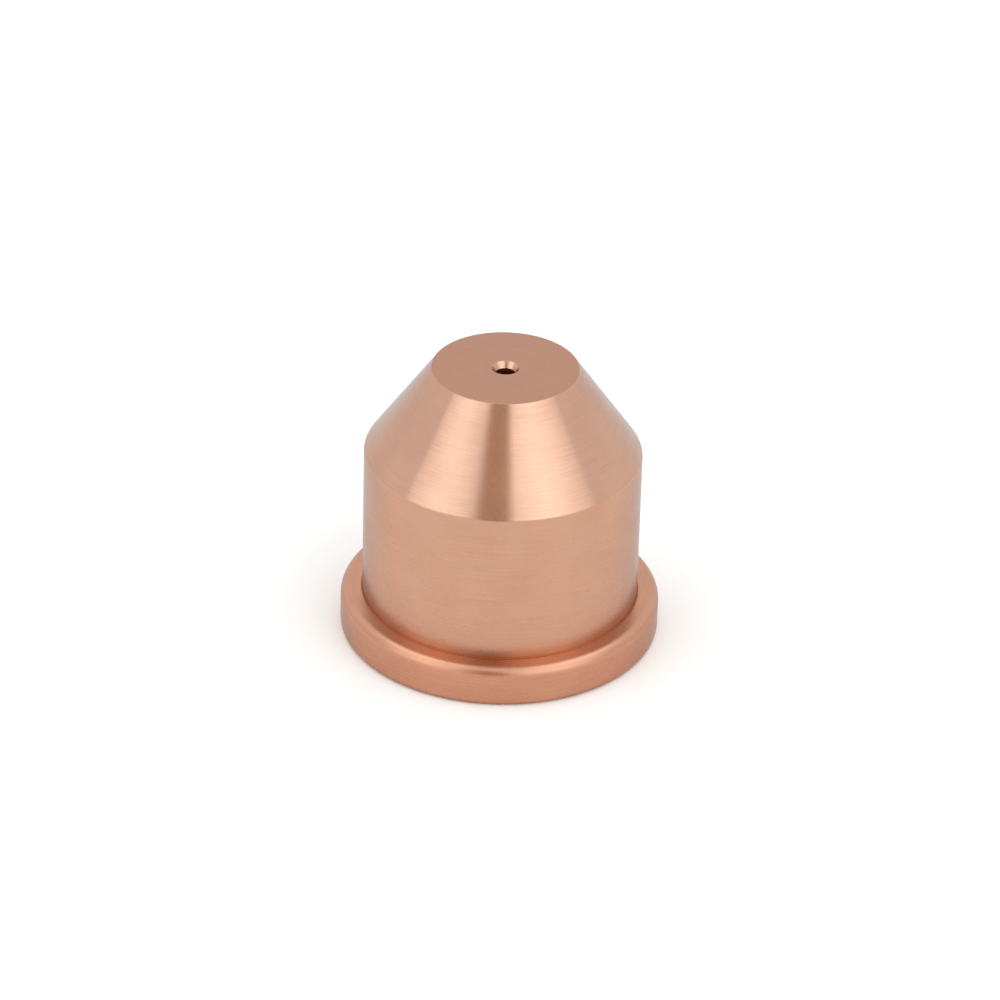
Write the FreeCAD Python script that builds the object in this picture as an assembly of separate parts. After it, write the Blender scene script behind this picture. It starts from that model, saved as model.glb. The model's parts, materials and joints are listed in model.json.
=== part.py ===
"""Plasma torch nozzle, turned from one piece of copper bar.

The nozzle stands on its flange with the gas orifice at the top. Z is its axis, and the origin is the
middle of the flange's underside. All lengths are in millimetres and all angles in degrees.

One closed outline in the half plane X > 0 holds the whole section, outside and inside. A full turn of it
about Z makes the solid, as a lathe would.
"""

import FreeCAD, Part
import math
import os
from collections import namedtuple

# Outside
OVERALL_HEIGHT = 20.1
FLANGE_DIAMETER = 22.0
FLANGE_HEIGHT = 2.9
BODY_DIAMETER = 19.0
TIP_DIAMETER = 10.0
CONE_HALF_ANGLE = 35.0

# Radii on the outside's edges
FLANGE_FOOT_RADIUS = 0.45
FLANGE_TOP_RADIUS = 0.7
BODY_FOOT_RADIUS = 0.1
SHOULDER_RADIUS = 0.3

# Gas orifice through the tip, countersunk on the outside
ORIFICE_DIAMETER = 1.3
COUNTERSINK_DIAMETER = 1.9
COUNTERSINK_DEPTH = 0.4

# Chamber round the electrode, with a cone that leads the gas to the orifice
TIP_THICKNESS = 3.2
CHAMBER_DIAMETER = 13.0
CHAMBER_FLOOR_DIAMETER = 4.0
CHAMBER_CONE_HALF_ANGLE = 35.0
CHAMBER_FLOOR_RADIUS = 0.6

# Seat for the gas ring, open at the underside
SEAT_DIAMETER = 16.2
SEAT_DEPTH = 3.6
MOUTH_CHAMFER = 0.3

AXIS_POINT = FreeCAD.Vector(0, 0, 0)
AXIS = FreeCAD.Vector(0, 0, 1)
FULL_TURN = 360
SAME_POINT = 1e-6

Corner = namedtuple("Corner", "distance height radius", defaults=[0])


def cone_height(wide, narrow, half_angle):
    """Height over which a cone narrows from one diameter to the other."""
    return (wide - narrow) / 2 / math.tan(math.radians(half_angle))


def outside_corners():
    """Corners from the underside's outer edge up to the edge of the tip's flat face."""
    shoulder_height = OVERALL_HEIGHT - cone_height(BODY_DIAMETER, TIP_DIAMETER, CONE_HALF_ANGLE)
    return [
        Corner(FLANGE_DIAMETER / 2, 0, FLANGE_FOOT_RADIUS),
        Corner(FLANGE_DIAMETER / 2, FLANGE_HEIGHT, FLANGE_TOP_RADIUS),
        Corner(BODY_DIAMETER / 2, FLANGE_HEIGHT, BODY_FOOT_RADIUS),
        Corner(BODY_DIAMETER / 2, shoulder_height, SHOULDER_RADIUS),
        Corner(TIP_DIAMETER / 2, OVERALL_HEIGHT),
    ]


def orifice_corners():
    """Corners of the countersink and the orifice, from the tip's face down to the chamber's floor."""
    return [
        Corner(COUNTERSINK_DIAMETER / 2, OVERALL_HEIGHT),
        Corner(ORIFICE_DIAMETER / 2, OVERALL_HEIGHT - COUNTERSINK_DEPTH),
        Corner(ORIFICE_DIAMETER / 2, OVERALL_HEIGHT - TIP_THICKNESS),
    ]


def chamber_corners():
    """Corners of the chamber, from its floor down to the step of the seat."""
    floor_height = OVERALL_HEIGHT - TIP_THICKNESS
    cone = cone_height(CHAMBER_DIAMETER, CHAMBER_FLOOR_DIAMETER, CHAMBER_CONE_HALF_ANGLE)
    return [
        Corner(CHAMBER_FLOOR_DIAMETER / 2, floor_height, CHAMBER_FLOOR_RADIUS),
        Corner(CHAMBER_DIAMETER / 2, floor_height - cone),
        Corner(CHAMBER_DIAMETER / 2, SEAT_DEPTH),
    ]


def seat_corners():
    """Corners of the seat, from its step down to the chamfer at the open mouth."""
    return [
        Corner(SEAT_DIAMETER / 2, SEAT_DEPTH),
        Corner(SEAT_DIAMETER / 2, MOUTH_CHAMFER),
        Corner(SEAT_DIAMETER / 2 + MOUTH_CHAMFER, 0),
    ]


def point(corner):
    return FreeCAD.Vector(corner.distance, 0, corner.height)


def rounding(before, corner, after):
    """First, middle and last point of the arc that rounds a corner. With no radius, all are the corner.

    The radius is limited so that the arc takes no more than half of either line that meets there.
    """
    here = point(corner)
    back, ahead = point(before) - here, point(after) - here
    half_opening = back.getAngle(ahead) / 2
    reach = min(corner.radius / math.tan(half_opening), back.Length / 2, ahead.Length / 2)
    radius = reach * math.tan(half_opening)
    back.normalize()
    ahead.normalize()
    inward = (back + ahead).normalize()
    middle = here + inward * (radius / math.sin(half_opening) - radius)
    return here + back * reach, middle, here + ahead * reach


def rounded_outline(corners):
    """A closed wire through the corners, with an arc at each one that has a radius.

    Two arcs that take the whole of the line between them meet end to end.
    """
    bends = []
    for index, corner in enumerate(corners):
        following = corners[(index + 1) % len(corners)]
        bends.append(rounding(corners[index - 1], corner, following))
    edges = []
    for index, (first, middle, last) in enumerate(bends):
        end_before = bends[index - 1][-1]
        if not first.isEqual(end_before, SAME_POINT):
            edges.append(Part.LineSegment(end_before, first).toShape())
        if not last.isEqual(first, SAME_POINT):
            edges.append(Part.Arc(first, middle, last).toShape())
    return Part.Wire(edges)


def make_nozzle():
    """The whole nozzle: its section turned about the axis."""
    corners = outside_corners() + orifice_corners() + chamber_corners() + seat_corners()
    section = Part.Face(rounded_outline(corners))
    return section.revolve(AXIS_POINT, AXIS, FULL_TURN)


def main():
    os.makedirs("parts", exist_ok=True)
    nozzle = make_nozzle()
    nozzle.exportStep(os.path.join("parts", "nozzle.step"))
    print(f"nozzle: {nozzle.ShapeType}, valid {nozzle.isValid()}, {nozzle.Volume:.1f} mm3")


if __name__ == "__main__":
    main()
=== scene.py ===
"""Plasma torch nozzle: the finish of the turned copper part, and the small studio that it stands in.

The nozzle is one piece of copper, turned on a lathe. A fine copy of its section is spun into a mesh, which
stands for the nozzle of the frame. Each zone of its skin gets the finish that its cut leaves there, and in
most zones a colour that also carries painted light or shade.
"""

import json
import logging
import math
from dataclasses import dataclass, field
from enum import Enum

import bmesh
import bpy
from mathutils import Matrix, Vector


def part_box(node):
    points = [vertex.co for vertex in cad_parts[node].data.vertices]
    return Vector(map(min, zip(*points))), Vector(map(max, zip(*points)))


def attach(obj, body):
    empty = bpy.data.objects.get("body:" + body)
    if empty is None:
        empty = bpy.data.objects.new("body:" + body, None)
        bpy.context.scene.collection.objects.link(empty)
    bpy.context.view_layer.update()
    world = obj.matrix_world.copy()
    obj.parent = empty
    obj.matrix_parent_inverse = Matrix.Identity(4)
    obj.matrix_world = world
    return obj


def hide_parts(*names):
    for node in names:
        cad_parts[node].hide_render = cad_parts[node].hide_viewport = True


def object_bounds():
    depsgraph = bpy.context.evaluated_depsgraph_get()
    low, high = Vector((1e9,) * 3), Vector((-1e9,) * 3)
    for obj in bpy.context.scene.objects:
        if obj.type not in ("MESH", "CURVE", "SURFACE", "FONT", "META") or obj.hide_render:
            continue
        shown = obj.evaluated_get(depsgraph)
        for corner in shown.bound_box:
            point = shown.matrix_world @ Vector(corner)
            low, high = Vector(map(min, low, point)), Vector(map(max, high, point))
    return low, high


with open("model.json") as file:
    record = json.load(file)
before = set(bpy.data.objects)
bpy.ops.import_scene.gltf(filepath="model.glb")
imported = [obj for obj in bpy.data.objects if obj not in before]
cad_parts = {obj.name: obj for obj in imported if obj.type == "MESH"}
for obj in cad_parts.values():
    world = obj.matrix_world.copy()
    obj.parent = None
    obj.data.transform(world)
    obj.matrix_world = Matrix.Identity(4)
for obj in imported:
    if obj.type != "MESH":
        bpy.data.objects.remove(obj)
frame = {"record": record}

CAD_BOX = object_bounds()
NODE = "nozzle"
BODY = "root"
MM = 0.001
FULL_TURN = math.tau
# Two corners closer than this, in millimetres, are the same corner.
SAME_PLACE = 1e-4
# The sum of two noises runs over these ranges: the first is for the colour, the second for the polish.
COLOUR_RANGE = (0.75, 1.25)
POLISH_RANGE = (0.7, 1.3)

log = logging.getLogger("nozzle")


def linear(hex_colour: str) -> tuple[float, float, float, float]:
    """Turn an sRGB colour into the linear one that shaders use.

    Args:
        hex_colour: six hex digits, with or without a leading #.

    Returns:
        Red, green, blue and an alpha of 1.
    """
    digits = hex_colour.lstrip("#")
    channels = [int(digits[start:start + 2], 16) / 255 for start in (0, 2, 4)]
    curve = [c / 12.92 if c <= 0.04045 else ((c + 0.055) / 1.055) ** 2.4 for c in channels]
    return (*curve, 1.0)


def add_node(
    tree: bpy.types.NodeTree, kind: str, links: dict[str | int, object] | None = None, **settings: object
) -> bpy.types.Node:
    """Add a shader node, set it up and link it.

    Args:
        tree: the node tree that gets the node.
        kind: the node's type, without the leading ShaderNode.
        links: what each input gets, by its name or number: an output socket, or else a plain value.
        settings: attributes of the node itself, such as operation.

    Returns:
        The new node.
    """
    node = tree.nodes.new(f"ShaderNode{kind}")
    for name, value in settings.items():
        setattr(node, name, value)
    for name, value in (links or {}).items():
        if isinstance(value, bpy.types.NodeSocket):
            tree.links.new(value, node.inputs[name])
        else:
            node.inputs[name].default_value = value
    return node


class Zone(Enum):
    """Zones of the nozzle's skin. The value is the zone's material slot number."""

    BODY = 0
    CONE = 1
    TIP_FACE = 2
    FLANGE = 3
    BORE = 4
    FLANGE_TOP = 5
    GROOVE = 6


@dataclass(frozen=True)
class TurnedCopper:
    """Bare copper as a lathe tool leaves it: fine feed marks round the axis, under a satin grain.

    The marks spread reflections along the nozzle's length and keep them sharp round it, so bright and dark
    bands run from end to end. Real feed marks here are about 0.03 mm apart, too fine to show, so they are
    drawn in groups of about feed_mm.

    Attributes:
        name: name of the material.
        colour: sRGB colour of the bare metal, which in most zones is shifted darker, redder or paler as
            painted light or shade.
        worn_colour: sRGB colour where the metal has dulled a little.
        roughness: mean roughness.
        streak: how much the feed marks change the roughness.
        anisotropy: how much longer reflections are across the marks than along them.
        edge_tint: sRGB colour of what the metal reflects where it is seen nearly edge on.
        feed_mm: spacing of the marks that show, in mm.
        mark_depth_mm: depth of the marks, in mm.
        grain_mm: width of the satin grain, in mm.
        grain_depth_mm: depth of the satin grain, in mm.
        mark_length_mm: how far a mark runs round the axis before it changes, in mm.
        patch_mm: width of the duller patches, in mm.
    """

    name: str
    colour: str = "#CB9A82"
    worn_colour: str = "#C6947B"
    roughness: float = 0.3
    streak: float = 0.05
    anisotropy: float = 0.5
    edge_tint: str = "#DCE4E8"
    feed_mm: float = 0.14
    mark_depth_mm: float = 0.0003
    grain_mm: float = 0.16
    grain_depth_mm: float = 0.0010
    mark_length_mm: float = 4.0
    patch_mm: float = 3.0

    def make(self) -> bpy.types.Material:
        """Build the material.

        Returns:
            The new material.
        """
        material = bpy.data.materials.new(self.name)
        material.use_nodes = True
        tree = material.node_tree
        tree.nodes.clear()
        place = add_node(tree, "TexCoord").outputs["Object"]
        marks = self._marks(tree, place)
        grain = self._grain(tree, place)
        shader = add_node(tree, "BsdfPrincipled", {
            "Base Color": self._metal_colour(tree, place, marks),
            "Metallic": 1.0,
            "Roughness": self._polish(tree, marks, grain),
            "Specular Tint": linear(self.edge_tint),
            "Anisotropic": self.anisotropy,
            "Tangent": self._along_the_axis(tree, place),
            "Normal": self._relief(tree, marks, grain),
        })
        add_node(tree, "OutputMaterial", {"Surface": shader.outputs["BSDF"]})
        return material

    def _marks(self, tree: bpy.types.NodeTree, place: bpy.types.NodeSocket) -> bpy.types.NodeSocket:
        """Feed marks: noise stretched into long streaks that follow circles round the axis.

        Args:
            tree: the material's node tree.
            place: the point on the piece, in metres.

        Returns:
            Height of the marks from 0 to 1.
        """
        parts = add_node(tree, "SeparateXYZ", {"Vector": place}).outputs
        flat = add_node(tree, "CombineXYZ", {"X": parts["X"], "Y": parts["Y"]}).outputs["Vector"]
        radius = add_node(tree, "VectorMath", {0: flat}, operation="LENGTH").outputs["Value"]
        travel = add_node(tree, "Math", {0: radius, 1: parts["Z"]}, operation="SUBTRACT").outputs["Value"]
        slowly = 1 / (self.mark_length_mm * MM)
        around = add_node(tree, "VectorMath", {0: flat, "Scale": slowly}, operation="SCALE")
        across = add_node(tree, "Math", {0: travel, 1: 1 / (self.feed_mm * MM)}, operation="MULTIPLY")
        lift = add_node(tree, "CombineXYZ", {"Z": across.outputs["Value"]}).outputs["Vector"]
        stretched = add_node(tree, "VectorMath", {0: around.outputs["Vector"], 1: lift}, operation="ADD")
        noise = add_node(tree, "TexNoise", {
            "Vector": stretched.outputs["Vector"], "Scale": 1.0, "Detail": 3.0, "Roughness": 0.65,
        })
        return noise.outputs["Fac"]

    def _grain(self, tree: bpy.types.NodeTree, place: bpy.types.NodeSocket) -> bpy.types.NodeSocket:
        """Satin grain: fine even noise with no direction.

        Args:
            tree: the material's node tree.
            place: the point on the piece, in metres.

        Returns:
            Height of the grain from 0 to 1.
        """
        scale = 1 / (self.grain_mm * MM)
        noise = add_node(tree, "TexNoise", {
            "Vector": place, "Scale": scale, "Detail": 2.0, "Roughness": 0.6,
        })
        return noise.outputs["Fac"]

    def _metal_colour(
        self, tree: bpy.types.NodeTree, place: bpy.types.NodeSocket, marks: bpy.types.NodeSocket
    ) -> bpy.types.NodeSocket:
        """Bare copper, a little duller in the feed marks and in soft patches.

        Args:
            tree: the material's node tree.
            place: the point on the piece, in metres.
            marks: height of the feed marks.

        Returns:
            The metal's colour.
        """
        scale = 1 / (self.patch_mm * MM)
        patches = add_node(tree, "TexNoise", {"Vector": place, "Scale": scale, "Detail": 4.0})
        both = add_node(tree, "Math", {0: patches.outputs["Fac"], 1: marks}, operation="ADD")
        share = add_node(tree, "MapRange", {
            "Value": both.outputs["Value"], "From Min": COLOUR_RANGE[0], "From Max": COLOUR_RANGE[1],
        })
        mix = add_node(tree, "Mix", data_type="RGBA")
        tree.links.new(share.outputs["Result"], mix.inputs["Factor"])
        mix.inputs[6].default_value = linear(self.colour)
        mix.inputs[7].default_value = linear(self.worn_colour)
        return mix.outputs[2]

    def _polish(
        self, tree: bpy.types.NodeTree, marks: bpy.types.NodeSocket, grain: bpy.types.NodeSocket
    ) -> bpy.types.NodeSocket:
        """Roughness that changes a little from mark to mark and grain to grain.

        Args:
            tree: the material's node tree.
            marks: height of the feed marks.
            grain: height of the satin grain.

        Returns:
            The roughness.
        """
        both = add_node(tree, "Math", {0: marks, 1: grain}, operation="ADD").outputs["Value"]
        return add_node(tree, "MapRange", {
            "Value": both,
            "From Min": POLISH_RANGE[0], "From Max": POLISH_RANGE[1],
            "To Min": self.roughness - self.streak, "To Max": self.roughness + self.streak,
        }).outputs["Result"]

    def _relief(
        self, tree: bpy.types.NodeTree, marks: bpy.types.NodeSocket, grain: bpy.types.NodeSocket
    ) -> bpy.types.NodeSocket:
        """Bump from the feed marks and then from the satin grain, each at its real depth.

        Args:
            tree: the material's node tree.
            marks: height of the feed marks.
            grain: height of the satin grain.

        Returns:
            The surface normal.
        """
        cut = add_node(tree, "Bump", {"Height": marks, "Distance": self.mark_depth_mm * MM})
        satin = add_node(tree, "Bump", {
            "Height": grain, "Distance": self.grain_depth_mm * MM, "Normal": cut.outputs["Normal"],
        })
        return satin.outputs["Normal"]

    def _along_the_axis(self, tree: bpy.types.NodeTree, place: bpy.types.NodeSocket) -> bpy.types.NodeSocket:
        """Direction in the surface that crosses the feed marks: reflections are longest that way.

        Args:
            tree: the material's node tree.
            place: the point on the piece, in metres.

        Returns:
            The tangent.
        """
        round_it = add_node(tree, "VectorMath", {0: (0.0, 0.0, 1.0), 1: place}, operation="CROSS_PRODUCT")
        normal = add_node(tree, "NewGeometry").outputs["Normal"]
        return add_node(
            tree, "VectorMath", {0: normal, 1: round_it.outputs["Vector"]}, operation="CROSS_PRODUCT"
        ).outputs["Vector"]


@dataclass(frozen=True)
class Corner:
    """A corner of the section, in millimetres.

    Attributes:
        distance: distance from the axis.
        height: height above the underside.
        radius: radius that rounds the corner, or 0.
        zone: zone of the wall that runs on from this corner to the next.
        edge_zone: zone of the rounded corner itself, where it differs from its walls.
    """

    distance: float
    height: float
    zone: Zone
    radius: float = 0.0
    edge_zone: Zone | None = None


@dataclass
class Nozzle:
    """The turned copper nozzle, one piece.

    Sizes are in millimetres. Those that the frame gives are read from its box and its mounts.

    Attributes:
        tip_diameter: width of the tip's flat face.
        cone_half_angle: angle between the cone and the axis, in degrees.
        flange_foot_radius: radius on the flange's lower edge.
        flange_top_radius: radius on the flange's upper edge.
        body_foot_radius: hollow radius between the flange and the body.
        shoulder_radius: radius between the body and the cone.
        broken_edge: radius that is left where a sharp edge has been broken.
        countersink_diameter: width of the countersink at the tip's face.
        chamber_floor_diameter: width of the chamber's flat floor.
        chamber_floor_radius: hollow radius round the chamber's floor.
        mouth_chamfer: width of the chamfer at the open mouth.
        steps: number of flats round the axis.
        arc_steps: number of flats on each rounded edge.
        crease_angle: walls that meet at more than this angle, in degrees, keep a sharp edge.
        finishes_and_painted_light: finish of each zone; in most zones its colour also carries painted light
            or shade.
        height: height over all.
        flange_radius: radius of the flange.
        flange_height: height of the flange.
        body_radius: radius of the body.
        orifice_radius: radius of the gas orifice.
        orifice_length: length of the gas orifice below its countersink.
        orifice_middle: height of the gas orifice's middle.
        chamber_radius: radius of the chamber.
        chamber_length: length of the chamber's straight wall.
        chamber_middle: height of that wall's middle.
        seat_radius: radius of the gas ring's seat.
    """

    tip_diameter: float = 10.0
    cone_half_angle: float = 35.0
    flange_foot_radius: float = 0.45
    flange_top_radius: float = 0.7
    body_foot_radius: float = 0.1
    shoulder_radius: float = 0.3
    broken_edge: float = 0.05
    countersink_diameter: float = 1.9
    chamber_floor_diameter: float = 4.0
    chamber_floor_radius: float = 0.6
    mouth_chamfer: float = 0.3
    steps: int = 256
    arc_steps: int = 8
    crease_angle: float = 25.0
    finishes_and_painted_light: dict[Zone, TurnedCopper] = field(default_factory=lambda: {
        # A plain finishing cut: an even satin with soft, broad reflections.
        Zone.BODY: TurnedCopper("turned_copper_body"),
        # The finest cut of all: bright and dark bands run down the cone, crossed by fine hair lines. Its
        # paler, less red copper is painted highlight, so that the bright bands look bleached.
        Zone.CONE: TurnedCopper(
            "turned_copper_cone_painted_highlight", colour="#CFA38C", worn_colour="#C69A84", roughness=0.22, streak=0.04,
            anisotropy=0.9, mark_depth_mm=0.0006, grain_depth_mm=0.00004,
        ),
        # Faced across the end: flat and even. Its darker colour is painted shade, for the dimmer room that
        # the face reflects.
        Zone.TIP_FACE: TurnedCopper("faced_copper_tip_painted_shade", colour="#C1917A", worn_colour="#BD8D76"),
        # A satin like the body's. Its redder, darker colour is painted shade, for the shadowed floor and the
        # copper light that the flange reflects.
        Zone.FLANGE: TurnedCopper("turned_copper_flange_painted_shade", colour="#CA9277", worn_colour="#C2896E"),
        # Faced like the tip. Its brighter colour is painted light, and it throws a warm glow on the foot of
        # the body.
        Zone.FLANGE_TOP: TurnedCopper("faced_copper_flange_top_painted_light", colour="#CF9A7F", worn_colour="#C99379"),
        # The corner between the flange and the body: a little rougher, and its dark, reddish colour is
        # painted shade, for the shade and bounced copper light in the corner.
        Zone.GROOVE: TurnedCopper(
            "painted_shade_copper_corner", colour="#A8623C", worn_colour="#A05A36", roughness=0.4,
        ),
        # Bored with a long thin tool: rougher than the outside. Its dark, red colour is painted shade, for
        # the deep bore's shade and the copper light that bounces in it.
        Zone.BORE: TurnedCopper("bored_copper_painted_shade", colour="#A9683F", worn_colour="#A06038", roughness=0.35),
    })
    height: float = field(init=False)
    flange_radius: float = field(init=False)
    flange_height: float = field(init=False)
    body_radius: float = field(init=False)
    orifice_radius: float = field(init=False)
    orifice_length: float = field(init=False)
    orifice_middle: float = field(init=False)
    chamber_radius: float = field(init=False)
    chamber_length: float = field(init=False)
    chamber_middle: float = field(init=False)
    seat_radius: float = field(init=False)

    def __post_init__(self) -> None:
        """Read the sizes that the frame gives."""
        low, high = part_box(NODE)
        mounts = {mount["name"]: mount for mount in frame["record"]["mounts"]}
        self.height = (high.z - low.z) / MM
        self.flange_radius = max(high.x - low.x, high.y - low.y) / 2 / MM
        self.flange_height = mounts["cap_stop"]["pos_m"][2] / MM
        self.body_radius = mounts["cap_land"]["dims"]["r_mm"]
        self.orifice_radius = mounts["orifice"]["dims"]["r_mm"]
        self.orifice_length = mounts["orifice"]["dims"]["length_mm"]
        self.orifice_middle = mounts["orifice"]["pos_m"][2] / MM
        self.chamber_radius = mounts["chamber"]["dims"]["r_mm"]
        self.chamber_length = mounts["chamber"]["dims"]["length_mm"]
        self.chamber_middle = mounts["chamber"]["pos_m"][2] / MM
        self.seat_radius = mounts["gas_ring_seat"]["dims"]["r_mm"]

    def corners(self) -> list[Corner]:
        """Corners of the closed section, from the underside's outer edge up, in and down again.

        Returns:
            The corners in order.
        """
        cone_width = self.body_radius - self.tip_diameter / 2
        cone_height = cone_width / math.tan(math.radians(self.cone_half_angle))
        orifice_top = self.orifice_middle + self.orifice_length / 2
        floor = self.orifice_middle - self.orifice_length / 2
        seat = self.chamber_middle - self.chamber_length / 2
        cone_foot = self.chamber_middle + self.chamber_length / 2
        edge = self.broken_edge
        return [
            Corner(self.flange_radius, 0, Zone.FLANGE, self.flange_foot_radius),
            Corner(self.flange_radius, self.flange_height, Zone.FLANGE_TOP, self.flange_top_radius),
            Corner(self.body_radius, self.flange_height, Zone.BODY, self.body_foot_radius, Zone.GROOVE),
            Corner(self.body_radius, self.height - cone_height, Zone.CONE, self.shoulder_radius),
            Corner(self.tip_diameter / 2, self.height, Zone.TIP_FACE, edge),
            Corner(self.countersink_diameter / 2, self.height, Zone.CONE, edge / 2),
            Corner(self.orifice_radius, orifice_top, Zone.BORE, edge / 2),
            Corner(self.orifice_radius, floor, Zone.BORE, edge / 2),
            Corner(self.chamber_floor_diameter / 2, floor, Zone.BORE, self.chamber_floor_radius),
            Corner(self.chamber_radius, cone_foot, Zone.BORE),
            Corner(self.chamber_radius, seat, Zone.BORE, edge),
            Corner(self.seat_radius, seat, Zone.BORE),
            Corner(self.seat_radius, self.mouth_chamfer, Zone.BORE, edge),
            Corner(self.seat_radius + self.mouth_chamfer, 0, Zone.FLANGE, edge),
        ]

    def build(self) -> bpy.types.Object:
        """Spin the section into the nozzle's mesh and dress it.

        Returns:
            The nozzle's object.
        """
        mesh = bpy.data.meshes.new("nozzle_turned")
        shape = bmesh.new()
        corners = self.corners()
        self._spin(shape, corners)
        self._mark_zones(shape, corners)
        for before, corner, after in zip(corners[-1:] + corners[:-1], corners, corners[1:] + corners[:1]):
            if corner.radius:
                self._round_edge(shape, before, corner, after)
        self._mark_sharp_edges(shape)
        bmesh.ops.scale(shape, vec=(MM, MM, MM), verts=shape.verts)
        shape.to_mesh(mesh)
        shape.free()
        piece = bpy.data.objects.new("nozzle_turned", mesh)
        bpy.context.scene.collection.objects.link(piece)
        for zone in Zone:
            mesh.materials.append(self.finishes_and_painted_light[zone].make())
        even = piece.modifiers.new("even_shading", "WEIGHTED_NORMAL")
        even.keep_sharp = True
        even.weight = 100
        return piece

    def _spin(self, shape: bmesh.types.BMesh, corners: list[Corner]) -> None:
        """Lay out the section's sharp corners and spin them a full turn round the axis.

        Args:
            shape: the mesh to fill.
            corners: the section's corners.
        """
        points = [shape.verts.new((corner.distance, 0, corner.height)) for corner in corners]
        for start, end in zip(points, points[1:] + points[:1]):
            shape.edges.new((start, end))
        bmesh.ops.spin(
            shape, geom=shape.verts[:] + shape.edges[:], cent=(0, 0, 0), axis=(0, 0, 1),
            angle=FULL_TURN, steps=self.steps, use_merge=True,
        )
        bmesh.ops.recalc_face_normals(shape, faces=shape.faces)

    def _mark_zones(self, shape: bmesh.types.BMesh, corners: list[Corner]) -> None:
        """Give each face the slot of its zone.

        Args:
            shape: the spun mesh.
            corners: the section's corners.
        """
        middles = [
            Vector(((start.distance + end.distance) / 2, (start.height + end.height) / 2))
            for start, end in zip(corners, corners[1:] + corners[:1])
        ]
        for face in shape.faces:
            place = face.calc_center_median()
            here = Vector((math.hypot(place.x, place.y), place.z))
            nearest = min(range(len(middles)), key=lambda number: (middles[number] - here).length)
            face.material_index = corners[nearest].zone.value

    def _round_edge(
        self, shape: bmesh.types.BMesh, before: Corner, corner: Corner, after: Corner
    ) -> None:
        """Round the ring of edges at one corner of the section.

        Args:
            shape: the spun mesh.
            before: the corner before it.
            corner: the corner to round.
            after: the corner after it.
        """
        here = Vector((corner.distance, corner.height))
        back = Vector((before.distance, before.height)) - here
        ahead = Vector((after.distance, after.height)) - here
        reach = corner.radius / math.tan(back.angle(ahead) / 2)
        ring = [edge for edge in shape.edges if all(
            abs(vert.co.z - corner.height) < SAME_PLACE
            and abs(math.hypot(vert.co.x, vert.co.y) - corner.distance) < SAME_PLACE
            for vert in edge.verts
        )]
        slot = corner.edge_zone.value if corner.edge_zone else -1
        bmesh.ops.bevel(
            shape, geom=ring, offset=reach, offset_type="OFFSET", segments=self.arc_steps,
            profile=0.5, affect="EDGES", clamp_overlap=True, material=slot,
        )

    def _mark_sharp_edges(self, shape: bmesh.types.BMesh) -> None:
        """Shade the skin smooth, with a crease where two walls meet at a corner that isn't rounded.

        Args:
            shape: the finished mesh.
        """
        crease = math.radians(self.crease_angle)
        for face in shape.faces:
            face.smooth = True
        for edge in shape.edges:
            edge.smooth = edge.calc_face_angle(0) < crease


@dataclass(frozen=True)
class SoftBox:
    """A soft lamp. With a grid on its front, it looks brightest where it faces the nozzle.

    Attributes:
        name: the lamp's name.
        azimuth: direction from the nozzle in degrees, 0 towards the camera and positive to the right.
        elevation: height above the floor as an angle, in degrees.
        width: width in metres.
        height: height in metres.
        power: power in watts.
        spread: angle in degrees at which its grid lets light out, where 180 is no grid.
        distance: distance from the nozzle in metres.
        colour: sRGB colour of its light, a slightly cool daylight.
    """

    name: str
    azimuth: float
    elevation: float
    width: float
    height: float
    power: float
    spread: float = 180.0
    distance: float = 0.55
    colour: str = "#ECFAFA"

    def build(self, target: Vector) -> bpy.types.Object:
        """Make the lamp.

        Args:
            target: the point that it looks at.

        Returns:
            The lamp's object.
        """
        lamp = bpy.data.lights.new(self.name, "AREA")
        lamp.shape = "RECTANGLE"
        lamp.size = self.width
        lamp.size_y = self.height
        lamp.spread = math.radians(self.spread)
        lamp.energy = self.power
        lamp.color = linear(self.colour)[:3]
        away = direction(self.azimuth, self.elevation)
        piece = bpy.data.objects.new(self.name, lamp)
        piece.location = target + away * self.distance
        piece.rotation_euler = away.to_track_quat("Z", "Y").to_euler()
        bpy.context.scene.collection.objects.link(piece)
        return piece


def direction(azimuth: float, elevation: float) -> Vector:
    """Find the direction at an azimuth and elevation.

    Args:
        azimuth: angle in degrees, 0 towards the camera and positive to the right.
        elevation: angle above the floor in degrees.

    Returns:
        A vector of length 1.
    """
    turn, lift = math.radians(azimuth), math.radians(elevation)
    return Vector((math.sin(turn) * math.cos(lift), -math.cos(turn) * math.cos(lift), math.sin(lift)))


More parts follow.
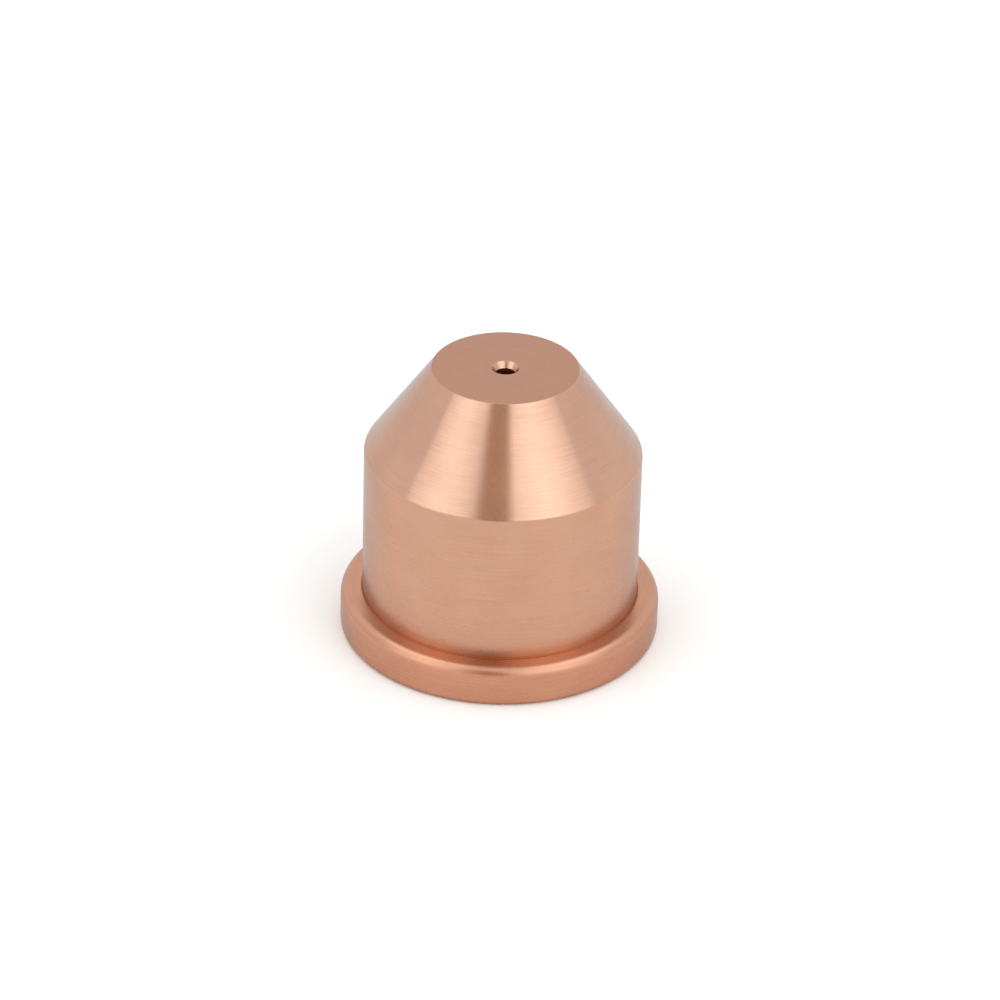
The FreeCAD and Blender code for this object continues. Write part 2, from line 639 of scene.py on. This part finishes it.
@dataclass(frozen=True)
class GreyCard:
    """A grey card between the two soft lamps, which gives bright metal a dark band to show its form.

    It is seen only in reflections. Its upright edges thin out, so the band has soft sides.

    Attributes:
        azimuth: direction from the nozzle in degrees, as for a lamp.
        elevation: height above the floor as an angle, in degrees.
        distance: distance from the nozzle in metres.
        width: width in metres.
        height: height in metres.
        soft_edge: width of each upright edge over which it thins out, in metres.
        colour: sRGB colour of the card.
    """

    azimuth: float = -5.6
    elevation: float = 28.0
    distance: float = 0.46
    width: float = 0.25
    height: float = 0.38
    soft_edge: float = 0.06
    colour: str = "#DABB9E"

    def build(self, target: Vector) -> bpy.types.Object:
        """Make the card.

        Args:
            target: the point that it faces.

        Returns:
            The card's object.
        """
        mesh = bpy.data.meshes.new("grey_card")
        shape = bmesh.new()
        bmesh.ops.create_grid(shape, x_segments=1, y_segments=1, size=0.5)
        away = direction(self.azimuth, self.elevation)
        bmesh.ops.scale(shape, vec=(self.width, self.height, 1), verts=shape.verts)
        bmesh.ops.rotate(shape, matrix=away.to_track_quat("Z", "Y").to_matrix(), verts=shape.verts)
        bmesh.ops.translate(shape, vec=target + away * self.distance, verts=shape.verts)
        shape.to_mesh(mesh)
        shape.free()
        card = bpy.data.objects.new("grey_card", mesh)
        bpy.context.scene.collection.objects.link(card)
        mesh.materials.append(self._board((target + away * self.distance).x))
        card.visible_camera = False
        card.visible_shadow = False
        return card

    def _board(self, middle: float) -> bpy.types.Material:
        """Grey board that thins out towards its upright edges.

        Args:
            middle: the X of the card's middle, in metres.

        Returns:
            The new material.
        """
        board = bpy.data.materials.new("grey_board")
        board.use_nodes = True
        tree = board.node_tree
        tree.nodes.clear()
        across = add_node(tree, "SeparateXYZ", {"Vector": add_node(tree, "TexCoord").outputs["Object"]})
        offset = add_node(tree, "Math", {0: across.outputs["X"], 1: middle}, operation="SUBTRACT")
        reach = add_node(tree, "Math", {0: offset.outputs["Value"]}, operation="ABSOLUTE")
        thin = add_node(tree, "MapRange", {
            "Value": reach.outputs["Value"],
            "From Min": self.width / 2 - self.soft_edge, "From Max": self.width / 2,
        })
        solid = add_node(tree, "BsdfDiffuse", {"Color": linear(self.colour)})
        clear = add_node(tree, "BsdfTransparent")
        shader = add_node(tree, "MixShader", {
            0: thin.outputs["Result"], 1: solid.outputs["BSDF"], 2: clear.outputs["BSDF"],
        })
        add_node(tree, "OutputMaterial", {"Surface": shader.outputs["Shader"]})
        return board


@dataclass
class Studio:
    """A plain white floor and room under plain soft studio light.

    Attributes:
        floor_colour: sRGB colour of the paper floor.
        floor_seen: how much brighter the floor is where it is looked at, so that it reads as white.
        floor_size: width of the floor in metres.
        room_light: brightness of the light that the white room gives, where white is 1.
        lamps: the soft lamps.
        card: the grey card.
    """

    floor_colour: str = "#E7E7E7"
    floor_seen: float = 1.34
    floor_size: float = 3.0
    room_light: float = 0.78
    lamps: tuple[SoftBox, ...] = (
        SoftBox(
            "left_softbox", azimuth=-56.0, elevation=34.0, width=0.50, height=0.69, power=0.169, spread=72.0,
        ),
        SoftBox(
            "right_softbox", azimuth=40.0, elevation=36.0, width=0.82, height=0.75, power=0.48, spread=84.0,
        ),
        SoftBox("left_top_light", azimuth=-112.0, elevation=66.0, width=0.30, height=0.30, power=0.25),
        SoftBox("right_top_light", azimuth=112.0, elevation=66.0, width=0.30, height=0.30, power=0.25),
    )
    card: GreyCard = GreyCard()

    def build(self, target: Vector) -> None:
        """Make the floor, the lamps, the card and the room.

        Args:
            target: the point that the lamps look at.
        """
        self._floor()
        for lamp in self.lamps:
            lamp.build(target)
        self.card.build(target)
        self._room()

    def _looked_at(self, tree: bpy.types.NodeTree) -> bpy.types.NodeSocket:
        """Tell whether the eye sees the surface, straight on or in a reflection.

        Args:
            tree: the node tree that asks.

        Returns:
            1 where it does, and 0 where the surface only lights others.
        """
        path = add_node(tree, "LightPath").outputs
        shiny = add_node(
            tree, "Math", {0: path["Is Camera Ray"], 1: path["Is Glossy Ray"]}, operation="MAXIMUM"
        )
        return add_node(
            tree, "Math", {0: shiny.outputs["Value"], 1: path["Is Transmission Ray"]}, operation="MAXIMUM"
        ).outputs["Value"]

    def _floor(self) -> None:
        """Lay the paper floor."""
        mesh = bpy.data.meshes.new("floor")
        shape = bmesh.new()
        bmesh.ops.create_grid(shape, x_segments=1, y_segments=1, size=self.floor_size / 2)
        shape.to_mesh(mesh)
        shape.free()
        floor = bpy.data.objects.new("floor", mesh)
        bpy.context.scene.collection.objects.link(floor)
        paper = bpy.data.materials.new("matte_paper")
        paper.use_nodes = True
        tree = paper.node_tree
        tree.nodes.clear()
        colour = linear(self.floor_colour)
        white = tuple(channel * self.floor_seen for channel in colour[:3])
        mix = add_node(tree, "Mix", {"Factor": self._looked_at(tree)}, data_type="RGBA", clamp_result=False)
        mix.inputs[6].default_value = colour
        mix.inputs[7].default_value = (*white, 1.0)
        shader = add_node(tree, "BsdfDiffuse", {"Color": mix.outputs[2]})
        add_node(tree, "OutputMaterial", {"Surface": shader.outputs["BSDF"]})
        mesh.materials.append(paper)

    def _room(self) -> None:
        """Put a white room round the floor. It looks white and lights the nozzle a little less."""
        world = bpy.data.worlds.new("studio_room")
        world.use_nodes = True
        tree = world.node_tree
        tree.nodes.clear()
        strength = add_node(tree, "Mix", {
            "Factor": self._looked_at(tree), "A": self.room_light, "B": 1.0,
        }, data_type="FLOAT")
        shader = add_node(tree, "Background", {
            "Color": linear("#FFFFFF"), "Strength": strength.outputs["Result"],
        })
        add_node(tree, "OutputWorld", {"Surface": shader.outputs["Background"]})
        bpy.context.scene.world = world


@dataclass(frozen=True)
class Camera:
    """The camera, a little above the nozzle and far from it.

    Attributes:
        elevation: height above the floor as an angle, in degrees.
        distance_mm: distance from the point that it looks at.
        aim_mm: the point that it looks at.
        roll: turn about its own line of sight, in degrees.
        focal_length: focal length in mm on the sensor below.
        sensor: width of the sensor in mm.
        nearest: nearest distance that it sees, in metres.
    """

    elevation: float = 30.57
    distance_mm: float = 341.6
    aim_mm: tuple[float, float, float] = (-0.135, 0.0, 9.723)
    roll: float = 1.53
    focal_length: float = 179.5
    sensor: float = 36.0
    nearest: float = 0.01

    def build(self) -> bpy.types.Object:
        """Make the camera and use it for the scene.

        Returns:
            The camera's object.
        """
        data = bpy.data.cameras.new("camera")
        data.lens = self.focal_length
        data.sensor_width = self.sensor
        data.clip_start = self.nearest
        camera = bpy.data.objects.new("camera", data)
        lift = math.radians(self.elevation)
        back = Vector((0, -math.cos(lift), math.sin(lift)))
        aim = Vector(self.aim_mm) * MM
        level = back.to_track_quat("Z", "Y").to_matrix().to_4x4()
        turned = level @ Matrix.Rotation(math.radians(self.roll), 4, "Z")
        camera.matrix_world = Matrix.Translation(aim + back * self.distance_mm * MM) @ turned
        bpy.context.scene.collection.objects.link(camera)
        bpy.context.scene.camera = camera
        return camera


def main() -> None:
    """Build the scene: the camera, the nozzle and the studio."""
    logging.basicConfig(level=logging.INFO)
    bpy.context.scene.view_settings.view_transform = "Standard"
    Camera().build()
    nozzle = Nozzle().build()
    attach(nozzle, BODY)
    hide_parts(NODE)
    log.info("%s: %d faces", nozzle.name, len(nozzle.data.polygons))
    low, high = CAD_BOX
    studio = Studio()
    studio.build((low + high) / 2)
    log.info("studio: %d soft lamps, a grey card and a floor", len(studio.lamps))


if __name__ == "__main__":
    main()
